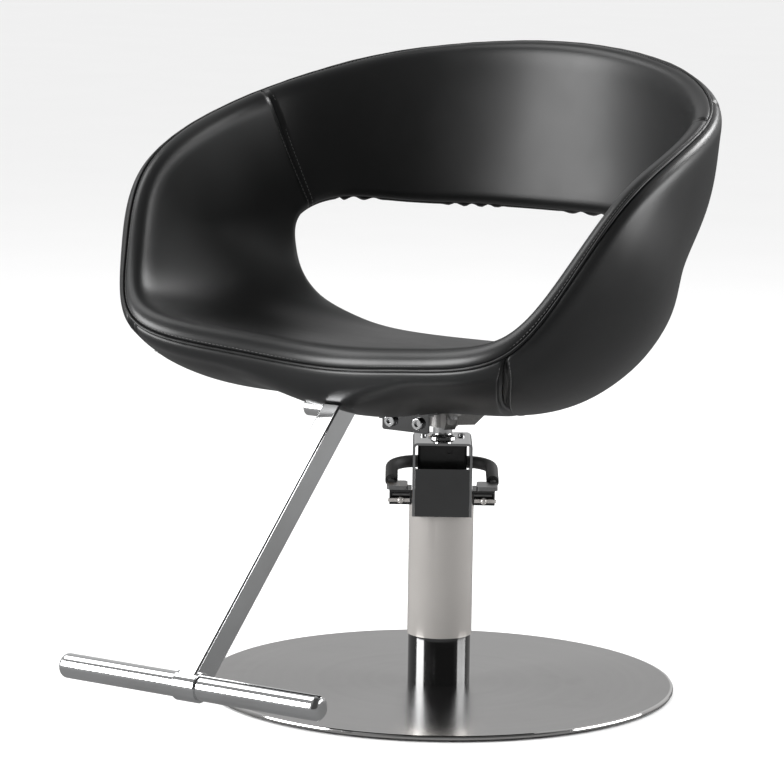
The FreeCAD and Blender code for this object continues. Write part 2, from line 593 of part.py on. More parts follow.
def pockets():
    """Room in the seat's underside for the board, its spacers and bolts, and the footrest's top."""
    wide, deep, thick, low = BOARD
    deepest = low - 40
    board = block(-wide / 2 - GAP, wide / 2 + GAP, -deep / 2 - 20 - GAP, deep / 2 - 20 + GAP,
                  low - GAP, low + thick + 2)
    spacers = around(disc(9 + GAP, deepest, low, SPIDER_REACH), 4, 45)
    spacers += mirrored(disc(7 + GAP, deepest, low, *BRACKET_BOLT))
    half = FOOT_PLATE_HALF + GAP
    plate = block(-half, half, FOOT_PLATE_Y[0] - GAP, FOOT_PLATE_Y[1] + GAP, FOOT_PLATE_Z[0] - GAP,
                  WOOD_TOP + GAP)
    heads = mirrored(disc(6 + GAP, deepest, FOOT_PLATE_Z[0], *FOOT_BOLT))
    arm = arm_box(ARM_W + 2 * GAP, ARM_D + 2 * GAP, 0)
    return fuse([board, plate, arm] + spacers + heads)


def tub():
    rear_left, front_left = STATIONS - SEAM_REAR, STATIONS - SEAM_FRONT
    return {
        "seat_cushion": swept_panel(inner_section, -FOAM_JOINT, FOAM_JOINT),
        "right_arm_cushion": swept_panel(inner_section, FOAM_JOINT, SEAM_BACK),
        "left_arm_cushion": swept_panel(inner_section, STATIONS - SEAM_BACK, STATIONS - FOAM_JOINT),
        "back_cushion": swept_panel(inner_section, SEAM_BACK, STATIONS - SEAM_BACK),
        "seat_shell": Part.makeCompound([swept_panel(shell_section, -SEAM_BACK, -FOAM_JOINT),
                                         swept_panel(shell_section, -FOAM_JOINT, FOAM_JOINT),
                                         swept_panel(shell_section, FOAM_JOINT, SEAM_BACK)]),
        "back_shell": swept_panel(shell_section, SEAM_BACK, STATIONS - SEAM_BACK),
        "outer_front_panel": swept_panel(outer_section, -SEAM_FRONT, SEAM_FRONT).cut(pockets()),
        "outer_right_panel": swept_panel(outer_section, SEAM_FRONT, SEAM_REAR),
        "outer_back_panel": swept_panel(outer_section, SEAM_REAR, rear_left),
        "outer_left_panel": swept_panel(outer_section, rear_left, front_left),
    }


def export(nodes):
    os.makedirs("parts", exist_ok=True)
    for name, shape in nodes.items():
        shape.exportStep("parts/%s.step" % name)


def build():
    nodes = {}
    nodes.update(floor_plate())
    nodes.update(column())
    nodes.update(pump_piston())
    nodes.update(ram())
    for piece in (head_block(), head_yoke(), front_plate(), release_plate()):
        nodes.update({name: turned(shape) for name, shape in piece.items()})
    nodes.update(pedal())
    nodes.update(plunger())
    nodes.update(seat_spider())
    nodes.update(seat_board())
    nodes.update(front_bracket())
    nodes.update(footrest())
    nodes.update(tub())
    return nodes


NODES = build()
for node, shape in NODES.items():
    box = shape.BoundBox
    print("%-22s solids %d valid %s volume %9.1f cm3  z %.1f to %.1f" % (
        node, len(shape.Solids), shape.isValid(), shape.Volume / 1000, box.ZMin, box.ZMax))
export(NODES)
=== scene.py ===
# %% [markdown]
# # A hydraulic styling chair
# The chair has two halves that ask for two kinds of modelling. The pump, floor plate and
# footrest are metal, and their shapes come ready from the CAD frame: here they only get
# finishes. The tub seat is foam under black leatherette, and that skin is built here from
# the same ribs that its moulded shell has.

# %% Load the frame
import json
import math

import bpy
import numpy as np
from mathutils import Matrix, Vector


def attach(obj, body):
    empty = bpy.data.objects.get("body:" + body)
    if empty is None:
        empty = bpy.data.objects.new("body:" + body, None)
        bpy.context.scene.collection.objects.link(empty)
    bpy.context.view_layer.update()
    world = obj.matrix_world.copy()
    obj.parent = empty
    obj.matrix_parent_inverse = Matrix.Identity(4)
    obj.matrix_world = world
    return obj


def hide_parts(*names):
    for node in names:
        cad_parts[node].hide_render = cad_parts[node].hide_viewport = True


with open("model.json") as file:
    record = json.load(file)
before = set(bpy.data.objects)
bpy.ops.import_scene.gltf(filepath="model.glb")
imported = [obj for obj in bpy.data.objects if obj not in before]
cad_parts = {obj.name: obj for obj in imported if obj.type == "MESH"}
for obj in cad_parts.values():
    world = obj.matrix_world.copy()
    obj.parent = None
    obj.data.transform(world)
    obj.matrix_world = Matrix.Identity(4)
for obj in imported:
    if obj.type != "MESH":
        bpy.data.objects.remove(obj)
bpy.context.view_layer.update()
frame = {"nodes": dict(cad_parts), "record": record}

# %% [markdown]
# ## Writing shader maths as plain expressions
# A material is a small web of nodes. Long webs are hard to read as a list of links, so a
# socket is wrapped in a class that knows plus, minus, times and power. Each operator adds
# one Math node. Every other node comes from one method, `node`.

# %% Socket arithmetic
class Link:
    """The output socket of a node, usable in sums with numbers and other sockets."""

    def __init__(self, web, socket):
        self.web, self.socket = web, socket

    def maths(self, operation, *terms):
        return self.web.node("ShaderNodeMath", {"operation": operation}, dict(enumerate(terms)))

    def __add__(self, other):
        return self.maths("ADD", self, other)

    def __sub__(self, other):
        return self.maths("SUBTRACT", self, other)

    def __rsub__(self, other):
        return self.maths("SUBTRACT", other, self)

    def __mul__(self, other):
        return self.maths("MULTIPLY", self, other)

    def __pow__(self, other):
        return self.maths("POWER", self, other)

    __radd__, __rmul__ = __add__, __mul__


# %% A web of nodes
class Web:
    """The nodes of a material or of the world."""

    def __init__(self, owner):
        owner.use_nodes = True
        self.tree = owner.node_tree

    def plug(self, value, socket):
        if isinstance(value, Link):
            self.tree.links.new(value.socket, socket)
        else:
            socket.default_value = value

    def node(self, kind, settings=None, inputs=None, output=0):
        """A new node: its settings first, then the values or links of its sockets."""
        made = self.tree.nodes.new(kind)
        for key, value in (settings or {}).items():
            setattr(made, key, value)
        for key, value in (inputs or {}).items():
            self.plug(value, made.inputs[key])
        return Link(self, made.outputs[output])

    def mix(self, factor, first, second):
        """A Mix node for two colours."""
        return self.node("ShaderNodeMix", {"data_type": "RGBA"}, {0: factor, 6: first, 7: second}, output=2)

    def spread(self, value, low, high):
        """Stretch the range low..high of a value to 0..1."""
        return self.node("ShaderNodeMapRange", None, {"Value": value, "From Min": low, "From Max": high})


# %% A finish is one material
class Finish(Web):
    """A material made of nodes, with one Principled shader."""

    def __init__(self, name):
        self.material = bpy.data.materials.new(name)
        super().__init__(self.material)
        self.shader = self.tree.nodes["Principled BSDF"]

    def place(self):
        return self.node("ShaderNodeTexCoord", output="Object")

    def noise(self, scale, detail=3.0, rough=0.5, place=None):
        inputs = {"Vector": place or self.place(), "Scale": scale, "Detail": detail, "Roughness": rough}
        return self.node("ShaderNodeTexNoise", None, inputs)

    def bump(self, height, distance, strength=1.0):
        inputs = {"Height": height, "Distance": distance, "Strength": strength}
        return self.node("ShaderNodeBump", None, inputs)

    def surface(self, **sockets):
        """Set the shader's sockets; base_color means Base Color."""
        for name, value in sockets.items():
            self.plug(value, self.shader.inputs[name.replace("_", " ").title().replace("Ior", "IOR")])
        return self.material


def grey(level, warm=0.0):
    """A grey with its red raised and its blue lowered by the share `warm`."""
    return (level * (1 + warm), level, level * (1 - warm), 1)


# %% [markdown]
# ## Black leatherette
# Upholstery vinyl is black all through, with an embossed grain of small pebbles about a
# millimetre across and a satin top coat. Its gloss isn't even: hands and seams polish it.
# The grain is a cell pattern fed to a bump, and slow noise shifts the roughness. A mesh
# attribute marks the rim's roll, where the skin is stretched tight: there it is glossier, and
# its colour is lifted a little as a painted sheen.

# %% Leatherette finish
PEBBLES_PER_METRE, FINE_CREASES = 950.0, 1500.0
GRAIN_DEPTH = 0.00016


def leatherette():
    f = Finish("black_leatherette")
    pebbles = {"Vector": f.place(), "Scale": PEBBLES_PER_METRE}
    cells = f.node("ShaderNodeTexVoronoi", {"feature": "SMOOTH_F1"}, pebbles)
    creases = f.noise(FINE_CREASES, 2.0)
    blotch = f.spread(f.noise(9.0, 4.0, 0.6), 0.35, 0.65)
    rim_polish_and_sheen = f.node("ShaderNodeAttribute", {"attribute_name": "rim_polish_and_sheen"}, output="Fac")
    colour = f.mix(blotch, grey(0.0042, -0.04), grey(0.0062, -0.03))
    # painted sheen: the base colour is lighter along the rim's roll, on top of the real polish there
    painted_rim_sheen = f.mix(rim_polish_and_sheen * 0.5, colour, grey(0.013, -0.03))
    rough = 0.42 + 0.05 * blotch - 0.1 * rim_polish_and_sheen
    grain = f.bump(cells * 0.7 + creases * 0.3, GRAIN_DEPTH, 0.35)
    return f.surface(base_color=painted_rim_sheen, roughness=rough, normal=grain, specular_ior_level=0.42,
                     coat_weight=0.1, coat_roughness=0.25)


LEATHER = leatherette()
print("leatherette has", len(LEATHER.node_tree.nodes), "nodes")

# %% [markdown]
# ## Thread and piping
# The rim seam is a thin welt: a cord covered in the same vinyl, with a row of stitches on
# the lining's side. The thread is a bonded polyester, a little lighter and shinier than the skin.

# %% Thread finish
def thread_finish():
    f = Finish("bonded_thread")
    twist = {"Vector": f.place(), "Scale": 900.0}
    ply = f.node("ShaderNodeTexWave", {"bands_direction": "DIAGONAL"}, twist)
    return f.surface(base_color=f.mix(ply, grey(0.07), grey(0.12)), roughness=0.5 - 0.1 * ply,
                     normal=f.bump(ply, 0.0001, 0.4))


THREAD = thread_finish()

# %% [markdown]
# ## Metals
# Polished chrome shows the room, so its own pattern is faint: a little haze where cloths
# have wiped it. Satin steel is rougher. The floor plate is brushed in circles, and an
# anisotropic shader stretches the highlights across the brush marks into a glowing fan.

# %% Chrome
def chrome(name, bright):
    f = Finish(name)
    haze = f.spread(f.noise(14.0, 5.0, 0.6), 0.42, 0.7)
    wipe = f.spread(f.noise(260.0, 2.0), 0.3, 0.8)
    return f.surface(base_color=f.mix(haze, grey(bright, -0.01), grey(bright * 0.9)), metallic=1.0,
                     roughness=0.035 + 0.06 * haze + 0.015 * wipe)


# %% Satin sleeve
TURNED_LINES = (60.0, 60.0, 2600.0)     # noise stretched into fine lines round the sleeve


def satin_steel():
    f = Finish("satin_stainless")
    stretch = f.node("ShaderNodeMapping", None, {"Vector": f.place(), "Scale": TURNED_LINES})
    lines = f.noise(1.0, 3.0, 0.7, stretch)
    haze = f.noise(11.0, 4.0)
    return f.surface(base_color=f.mix(haze, grey(0.56, 0.045), grey(0.46, 0.045)), metallic=0.55,
                     roughness=0.08 + 0.1 * lines, normal=f.bump(lines, 0.00004, 0.25))


# %% Brushed floor plate
FLAT_EDGE, RIM_START = 0.2955, 0.2975   # radii between which the brushing gives way to a polished rim


def circular_brushed():
    f = Finish("circular_brushed_stainless")
    split = {"Vector": f.place()}
    x = f.node("ShaderNodeSeparateXYZ", None, split, output="X")
    y = f.node("ShaderNodeSeparateXYZ", None, split, output="Y")
    radius = (x * x + y * y) ** 0.5
    flat = f.node("ShaderNodeCombineXYZ", None, {"X": radius, "Y": 0.0, "Z": 0.0})
    rings = f.noise(1900.0, 3.0, 0.75, flat)
    broad = f.noise(70.0, 2.0, 0.5, flat)
    scuffs = f.spread(f.noise(8.0, 6.0, 0.7), 0.5, 0.75)
    rim = f.spread(radius, FLAT_EDGE, RIM_START)
    brushed = f.mix(rings * 0.6 + broad * 0.4, grey(0.34, 0.01), grey(0.48, 0.015))
    rough = 0.14 + 0.08 * rings + 0.06 * scuffs
    return f.surface(base_color=f.mix(rim, brushed, grey(0.8, 0.01)), metallic=1.0,
                     roughness=rough * (1 - 0.7 * rim), anisotropic=0.75,
                     normal=f.bump(rings, 0.00003, 0.25))


# the second chrome is the same mirror chrome painted dark, standing in for dark reflections
CHROME, CHROME_PAINTED_DARK = chrome("polished_chrome", 0.78), chrome("chrome_painted_dark_reflection", 0.15)
SATIN, BRUSHED = satin_steel(), circular_brushed()
print("metals:", ", ".join(metal.name for metal in (CHROME, CHROME_PAINTED_DARK, SATIN, BRUSHED)))

# %% [markdown]
# ## Plain metals, enamel and rubber
# The other pieces have quiet finishes: ground steel, zinc plating, a cast alloy, bronze,
# black enamel and rubber. Each differs in colour, gloss and the size of its speckle, so one
# function makes them all and the numbers tell them apart.

# %% Steel, castings and bronze
def speckled(name, dark, light, scale, roughness, metallic, depth, warm=0.0, coat=0.0):
    """A finish with a fine speckle that changes its colour, gloss and relief."""
    f = Finish(name)
    speck = f.noise(scale, 4.0, 0.6)
    broad = f.noise(scale / 30, 3.0)
    blend = f.spread(speck * 0.6 + broad * 0.4, 0.35, 0.65)
    return f.surface(base_color=f.mix(blend, grey(dark, warm), grey(light, warm)), metallic=metallic,
                     roughness=roughness + 0.1 * blend, normal=f.bump(speck, depth, 0.5),
                     coat_weight=coat, coat_roughness=0.12)


STEEL = speckled("ground_steel", 0.30, 0.42, 700.0, 0.26, 1.0, 0.00003)
OILED = speckled("oiled_plate_steel", 0.05, 0.09, 300.0, 0.45, 1.0, 0.0001)
ZINC = speckled("bright_zinc", 0.42, 0.6, 500.0, 0.22, 1.0, 0.00004)
CAST = speckled("cast_alloy", 0.30, 0.42, 420.0, 0.3, 0.9, 0.00012, 0.02)
BRONZE = speckled("bearing_bronze", 0.25, 0.36, 500.0, 0.3, 1.0, 0.00004, 0.35)
ENAMEL = speckled("black_enamel", 0.006, 0.011, 360.0, 0.28, 0.0, 0.00006, 0.0, 0.5)
RUBBER = speckled("moulded_rubber", 0.010, 0.018, 900.0, 0.55, 0.0, 0.00012)

# %% [markdown]
# ## Plywood
# The seat board is beech ply. Wood grain is noise that is stretched along the board and
# squeezed across its plies, and it darkens, dulls and dents the surface all at once.

# %% Plywood finish
GRAIN_STRETCH = (6.0, 90.0, 500.0)
BEECH_DARK, BEECH_LIGHT = (0.36, 0.22, 0.11, 1), (0.52, 0.36, 0.2, 1)


def plywood():
    f = Finish("moulded_beech_ply")
    grain_place = f.node("ShaderNodeMapping", None, {"Vector": f.place(), "Scale": GRAIN_STRETCH})
    grain = f.noise(1.0, 5.0, 0.6, grain_place)
    colour = f.mix(f.spread(grain, 0.35, 0.65), BEECH_DARK, BEECH_LIGHT)
    return f.surface(base_color=colour, roughness=0.55 + 0.2 * grain, normal=f.bump(grain, 0.0002, 0.4))


PLY = plywood()

# %% [markdown]
# ## Finishes for the CAD pieces
# Each metal piece keeps its CAD mesh. The imported record already says which finish slot a
# node belongs to, so one table from slot to material dresses them all. Three mirror-chrome
# pieces on and above the column get a darkened chrome, a painted dark reflection, and the
# yoke a painted reflection halfway between the two.

# %% Dress the CAD nodes
FINISH_OF_SLOT = {
    "rubber_pad": RUBBER, "weight_steel": OILED, "brushed_stainless": BRUSHED, "zinc_fasteners": ZINC,
    "mirror_chrome": CHROME, "satin_steel": SATIN, "pump_steel": STEEL, "black_casting": ENAMEL,
    "bronze": BRONZE, "seal_rubber": RUBBER, "grip_rubber": RUBBER, "cast_alloy": CAST, "plywood": PLY,
    "black_upholstery": LEATHER,
}
slot_of = {part["node"]: part["material_slot"] for part in frame["record"]["subparts"]}
for name, node in frame["nodes"].items():
    node.data.materials.clear()
    node.data.materials.append(FINISH_OF_SLOT[slot_of[name]])
# painted dark reflection: these three mirror-chrome pieces get the darkened chrome
for name in ("lower_tube", "head_front_plate", "front_bracket"):
    frame["nodes"][name].data.materials[0] = CHROME_PAINTED_DARK
# painted dim reflection: the yoke's mirror chrome is darkened halfway
frame["nodes"]["head_yoke"].data.materials[0] = chrome("chrome_painted_half_dark", 0.45)
print("dressed", len(slot_of), "CAD nodes")

# %% [markdown]
# ## The tub as a ring of ribs
# The tub is a ring: seat, arm, backrest, arm and back to the seat, with a window left open
# under the backrest. A rib crosses the ring at each station, from the window's edge to the
# rim. It has a middle line that bows outwards, an inner face, an outer face and a round
# roll at both ends. The table is the one that the moulded shell is made to, in millimetres.

# %% Rib table
RIBS = [  # rim point, window-edge point, outward direction, bow, thickness at window, middle, rim
    ((0, -248, 444), (0, 136, 410), (0, 0, -1), 6, 40, 76, 50),
    ((112, -264, 453), (88, 134, 411), (0.05, 0, -1), 6, 40, 76, 50),
    ((208, -281, 465), (165, 116, 420), (0.2, 0, -1), 6, 38, 78, 50),
    ((276, -271, 491), (213, 90, 440), (0.5, 0, -0.87), 10, 36, 68, 46),
    ((314, -229, 550), (248, 64, 468), (0.8, 0.1, -0.6), 19, 36, 59, 42),
    ((339, -180, 618), (274, 52, 505), (0.93, 0.1, -0.35), 18, 36, 55, 40),
    ((348, -100, 671), (285, 52, 546), (0.95, 0.2, -0.2), 10, 34, 46, 42),
    ((337, 30, 712), (290, 80, 588), (0.9, 0.4, -0.1), 3, 30, 42, 40),
    ((297, 127, 743), (264, 144, 611), (0.8, 0.6, 0), 2, 30, 38, 38),
    ((222, 198, 771), (197, 200, 610), (0.55, 0.85, 0), 5, 36, 42, 36),
    ((114, 248, 788), (102, 234, 610), (0.3, 0.95, 0), 5, 36, 44, 36),
    ((0, 264, 794), (0, 244, 610), (0, 1, 0), 5, 36, 44, 36),
]
STATIONS = 2 * (len(RIBS) - 1)
SEAM_BACK, SEAM_FRONT, SEAM_REAR = 7.35, 2.85, 8.0     # stations of the right-hand seams
MM = 0.001
print("ring of", STATIONS, "stations")

# %% [markdown]
# ## Smooth ribs between the stations
# A cubic spline that closes on itself passes through every rib of the table. Its bends come
# from one small linear system, and NumPy solves it for all columns at once.

# %% Spline round the ring
def ring_table():
    """Rows of the rib table all the way round, with the left side mirrored."""
    right = np.array([[*rim, *window, *outward, *shape] for rim, window, outward, *shape in RIBS], float)
    left = right[1:-1][::-1].copy()
    left[:, [0, 3, 6]] *= -1
    return np.vstack([right, left])


TABLE = ring_table()
same = np.eye(STATIONS)
system = 4 * same + np.roll(same, 1, 0) + np.roll(same, -1, 0)
BEND = np.linalg.solve(system, 6 * (np.roll(TABLE, -1, 0) - 2 * TABLE + np.roll(TABLE, 1, 0)))


def ribs_at(stations):
    """Rib numbers at any stations, by a periodic cubic through the table."""
    stations = np.asarray(stations, float)
    i = np.floor(stations).astype(int) % STATIONS
    j = (i + 1) % STATIONS
    t = (stations - np.floor(stations))[:, None]
    sag = (2 - t) * BEND[i] + (1 + t) * BEND[j]
    return (1 - t) * TABLE[i] + t * TABLE[j] - t * (1 - t) * sag / 6


# %% [markdown]
# ## A point on the skin
# A place on the skin has two numbers: the station, and a lap that runs once round the rib.
# Lap 0 to 1 is the inner face from window to rim, 1 to 2 is the rim's roll, 2 to 3 is the
# outer face back to the window, and 3 to 4 is the window's roll. One function turns both
# arrays into points, so panels, welts and stitches all lie on the same skin.

# %% Skin function
def rows_dot(a, b):
    return (a * b).sum(-1, keepdims=True)


def skin(stations, laps):
    """Points (metres) on the tub's skin for arrays of stations and laps of one shape."""
    q, lap = np.broadcast_arrays(np.asarray(stations, float), np.asarray(laps, float))
    shape, q, lap = q.shape, q.ravel(), lap.ravel() % 4
    rib = ribs_at(q)
    rim, window, outward = rib[:, 0:3], rib[:, 3:6], rib[:, 6:9]
    bow, window_t, middle_t, rim_t = (rib[:, k:k + 1] for k in range(9, 13))
    length = np.linalg.norm(rim - window, axis=1, keepdims=True)
    along = (rim - window) / length
    across = outward - along * rows_dot(outward, along)
    across /= np.linalg.norm(across, axis=1, keepdims=True)
    part, t = np.floor(lap).astype(int)[:, None], (lap % 1)[:, None]
    s = np.select([part == 0, part == 1, part == 2], [t, np.ones_like(t), 1 - t], 0.0)
    middle = window + along * s * length + across * 4 * bow * s * (1 - s)
    normal = across * length - along * 4 * bow * (1 - 2 * s)
    normal /= np.linalg.norm(normal, axis=1, keepdims=True)
    tangent = along * length + across * 4 * bow * (1 - 2 * s)
    tangent /= np.linalg.norm(tangent, axis=1, keepdims=True)
    edge = window_t * (1 - s) + rim_t * s
    swell = np.sin(math.pi * np.clip(s, 0, 1) ** 1.5).clip(0) ** 0.6
    inner = -edge / 2
    outer = edge * (1 - swell) + middle_t * swell - edge / 2
    angle = math.pi * t
    rolled = middle + (tangent * np.sin(angle) - normal * np.cos(angle)) * edge / 2
    unrolled = middle + (-tangent * np.sin(angle) + normal * np.cos(angle)) * edge / 2
    points = np.select([part == 0, part == 1, part == 2],
                       [middle + normal * inner, rolled, middle + normal * outer], unrolled)
    return (points * MM).reshape(*shape, 3)


def skin_normals(stations, laps):
    """Outward normals of the skin, from two small steps along it."""
    q, lap = np.broadcast_arrays(np.asarray(stations, float), np.asarray(laps, float))
    step = 0.004        # in stations and in laps
    round_ring = skin(q + step, lap) - skin(q - step, lap)
    round_rib = skin(q, lap + step) - skin(q, lap - step)
    normal = np.cross(round_rib, round_ring)
    return normal / np.linalg.norm(normal, axis=-1, keepdims=True)


probe = skin([0.0, 0.0], [0.5, 2.5])
print("seat is", round(float(probe[0, 2] - probe[1, 2]) / MM), "mm thick at the middle")

# %% [markdown]
# ## Panels of skin
# A panel is a patch of the skin between two stations and two laps. Leather pulled over foam
# sinks where it is sewn, so the patch dips close to each sewn edge and its edge turns in
# to hide the raw foam. Laps aren't evenly long, so the points are spaced along real lengths.
# That keeps the faces near square.

# %% Even spacing along a line
def running_length(points, axis):
    """Length run so far at each point of a line, or of every line of a grid."""
    steps = np.linalg.norm(np.diff(points, axis=axis), axis=-1)
    start = np.zeros_like(np.take(steps, [0], axis=axis))
    return np.concatenate([start, np.cumsum(steps, axis=axis)], axis=axis)


def even_laps(first, last, count, station):
    """Laps from first to last that are evenly spaced in length on one rib, and that length."""
    dense = np.linspace(first, last, 600)
    run = running_length(skin(station, dense), 0)
    return np.interp(np.linspace(0, run[-1], count), run, dense), run[-1]


def smooth_step(value, low, high):
    """0 below low, 1 above high, with an S-shaped rise between."""
    t = np.clip((value - low) / (high - low), 0, 1)
    return t * t * (3 - 2 * t)


def bell(value, centre, width):
    """1 at the centre, falling away on both sides."""
    return np.exp(-((value - centre) / width) ** 2)


# %% [markdown]
# ## Rounded creases
# The ribs turn sharply where a face meets its roll, but foam can't. Averaging each point
# with its neighbours on the rib rounds such a crease, like a wash of filler, and a mask
# keeps the rest of the skin as it was.

# %% Rounded creases
SOFT_REACH = 0.009      # metres that the foam needs to turn a corner
CREASES = [(0.0, 0.06), (1.0, 0.12), (2.0, 0.12), (3.0, 0.1)]     # lap and half width


def soften(points, laps):
    """Round the creases where a face meets its roll, by averaging neighbours along the laps."""
    spacing = np.linalg.norm(np.diff(points, axis=-2), axis=-1).mean()
    mask = np.clip(sum(bell(laps, at, wide) for at, wide in CREASES), 0, 1)[..., 1:-1, None]
    for _ in range(int(2 * (SOFT_REACH / spacing) ** 2)):
        even = (points[..., :-2, :] + 2 * points[..., 1:-1, :] + points[..., 2:, :]) / 4
        points[..., 1:-1, :] += mask * (even - points[..., 1:-1, :])
    return points


# %% [markdown]
# ## Corner seams that lean
# The seams at the front corners don't follow a rib: below the rim they sweep inwards under
# the seat. Shifting the stations by an amount that grows with the lap bends the seams, and
# it fades to nothing at the seat's middle and at the rear seams.

# %% Corner seams that lean
RIM_LAP, WINDOW_LAP = 1.56, -0.44       # laps of the rim seam and the window seam


def lean(stations, laps):
    """Stations shifted so that the front corner seams sweep inwards under the seat."""
    on_roll = 0.25 * np.clip((laps - RIM_LAP) / (2 - RIM_LAP), 0, 1)
    below = 1.3 * (1 - np.exp(-np.clip(laps - 2, 0, None) / 0.4))
    knots = [-SEAM_FRONT, SEAM_FRONT, SEAM_REAR, STATIONS - SEAM_REAR, STATIONS - SEAM_FRONT]
    return stations + (on_roll + below) * np.interp(stations, knots, [1, -1, 0, 0, 1])


# %% From points to an object
def mesh_object(name, vertices, faces, material):
    mesh = bpy.data.meshes.new(name)
    mesh.from_pydata([tuple(v) for v in vertices], [], [tuple(int(i) for i in f) for f in faces])
    mesh.materials.append(material)
    mesh.polygons.foreach_set("use_smooth", [True] * len(mesh.polygons))
    mesh.update()
    made = bpy.data.objects.new(name, mesh)
    bpy.context.scene.collection.objects.link(made)
    return made


def grid_faces(rows, columns):
    i, j = np.meshgrid(np.arange(rows - 1), np.arange(columns - 1), indexing="ij")
    a = (i * columns + j).ravel()
    return np.stack([a + columns, a + columns + 1, a + 1, a], 1)


# %% Building a panel
SEAM_DIP, SEAM_WIDTH, TURN_IN = 0.0022, 0.009, 0.007
SPACING, CROWDING = 0.005, 0.095        # the rows crowd together beside the seams


def panel(q0, q1, lap0, lap1, relief, leaning):
    """One sewn panel of the skin. relief(q, laps, points) adds height in metres."""
    count = 2 + int(even_laps(lap0, lap1, 2, (q0 + q1) / 2)[1] / SPACING)
    span = np.linspace(q0, q1, 40)
    across = np.array([even_laps(lap0, lap1, count, q)[0] for q in span])
    rim_run = running_length(skin(span, 1.5), 0)
    rows = 2 + int(1.4 * rim_run[-1] / SPACING)
    steps = np.linspace(0, 1, rows)
    steps -= CROWDING * np.sin(2 * math.pi * steps)
    q = np.interp(steps * rim_run[-1], rim_run, span)
    laps = np.stack([np.interp(q, span, across[:, k]) for k in range(count)], 1)
    q = np.repeat(q[:, None], count, 1)
    place = lean(q, laps) if leaning else q
    points, normals = skin(place, laps), skin_normals(place, laps)
    by_row, by_column = running_length(points, 0), running_length(points, 1)
    to_end = np.minimum(by_row, by_row[-1:] - by_row)
    to_edge = np.minimum(to_end, np.minimum(by_column, by_column[:, -1:] - by_column))
    dip = SEAM_DIP * (1 - smooth_step(to_edge, 0, SEAM_WIDTH)) ** 1.5
    height = relief(q, laps, points) - dip
    points = soften(points + normals * height[..., None], laps)
    return points, normals, to_edge, laps


# %% Turned-in edges and the finished object
def sew_panel(name, q0, q1, lap0, lap1, relief, leaning):
    """The panel as an object, with a border that turns in under the seam."""
    points, normals, to_edge, laps = panel(q0, q1, lap0, lap1, relief, leaning)
    framed = np.pad(points - normals * TURN_IN, ((1, 1), (1, 1), (0, 0)), "edge")
    framed[1:-1, 1:-1] = points
    made = mesh_object(name, framed.reshape(-1, 3), grid_faces(*framed.shape[:2]), LEATHER)
    # the rim's roll: the skin is made glossier there, and painted lighter as a sheen
    rim_polish_and_sheen = np.pad(bell(laps, 1.5, 0.45) * smooth_step(to_edge, 0, 0.01), 1)
    rim_polish_and_sheen_layer = made.data.attributes.new("rim_polish_and_sheen", "FLOAT", "POINT")
    rim_polish_and_sheen_layer.data.foreach_set("value", rim_polish_and_sheen.ravel().astype(np.float32))
    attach(made, "seat")
    return made


# %% [markdown]
# ## Unevenness
# Sewn vinyl is never a perfect surface. It has slow hollows where the foam gives, a fold
# and pleats where spare skin is gathered at the front corners, gathers under the backrest,
# and a swelling over the footrest's wooden block. A cloth simulation could find such folds,
# but this skin is glued tight to moulded foam, so each is a small height added one by one.

# %% Slow waves
def slow_waves(points, seed, size, height):
    """Smooth unevenness from a few crossed sine waves, the same on every run."""
    rng = np.random.default_rng(seed)
    total = np.zeros(points.shape[:-1])
    waves = 7
    for _ in range(waves):
        direction = rng.normal(size=3)
        direction /= np.linalg.norm(direction)
        total += np.sin(points @ direction * (2 * math.pi / size) + rng.uniform(0, 2 * math.pi))
    return total * height / waves


# %% Folds at the front corners
STATION_MM = 85                         # one station's length at the front corners
FOLD_DEPTH, PLEAT_DEPTH = 0.0055, 0.0036
PLEATS_AT = (-15.0, -7.5, 7.0)          # millimetres from the left seam


def corner_fold(q, laps):
    """The leaf-shaped fold at the front corner seams, and the three pleats beside the left one."""
    signed = (q + STATIONS / 2) % STATIONS - STATIONS / 2
    away = np.abs((np.abs(signed) - SEAM_FRONT) * STATION_MM)
    half = 3.0 + 6.0 * bell(laps, 2.0, 0.2)
    leaf = (1 - smooth_step(away, half - 1.5, half + 2.5)) * smooth_step(laps, 1.6, 1.72)
    beside = (-signed - SEAM_FRONT) * STATION_MM
    pleats = sum(bell(beside, place, 1.9) for place in PLEATS_AT) * smooth_step(laps, 1.585, 1.62)
    fold = FOLD_DEPTH * leaf * (1 - smooth_step(laps, 2.3, 2.7))
    return -fold - PLEAT_DEPTH * pleats * (1 - smooth_step(laps, 1.78, 1.98))


# %% The swelling over the footrest's block
BOSS_HEIGHT = 0.015


def footrest_boss(q, laps):
    """The swelling where the skin is drawn over the footrest's wooden block."""
    wide = 1 - smooth_step(np.abs(q), 0.2, 1.5)
    return BOSS_HEIGHT * wide * smooth_step(laps, 1.66, 2.05) * (1 - smooth_step(laps, 2.1, 2.5))


# %% Relief of each panel
GATHER_HEIGHT, GATHER_PITCH = 0.0024, 0.27      # metres, stations


def lining_relief(q, laps, points):
    return slow_waves(points, 3, 0.16, 0.0016)


def front_relief(q, laps, points):
    return slow_waves(points, 5, 0.2, 0.0014) + corner_fold(q, laps) + footrest_boss(q, laps)


def side_relief(q, laps, points):
    return slow_waves(points, 8, 0.22, 0.0018) + corner_fold(q, laps)


def back_relief(q, laps, points):
    gathers = np.sin(q * 2 * math.pi / GATHER_PITCH + 2.2 * np.sin(q * 2.1))
    gathers *= smooth_step(np.sin(q * 3.7 + 1), -0.3, 0.7)      # some stretches lie flat
    return slow_waves(points, 11, 0.2, 0.0014) + GATHER_HEIGHT * gathers * bell(laps, 3.3, 0.3)


# %% [markdown]
# ## Sewing the tub
# The lining wraps over the rim to the rim seam, a little past the roll's tip, and under
# the window's edge to the window seam. It is cut in two: seat with arms, and backrest. The
# outside is cut in four: front with underside, two sides, and back.

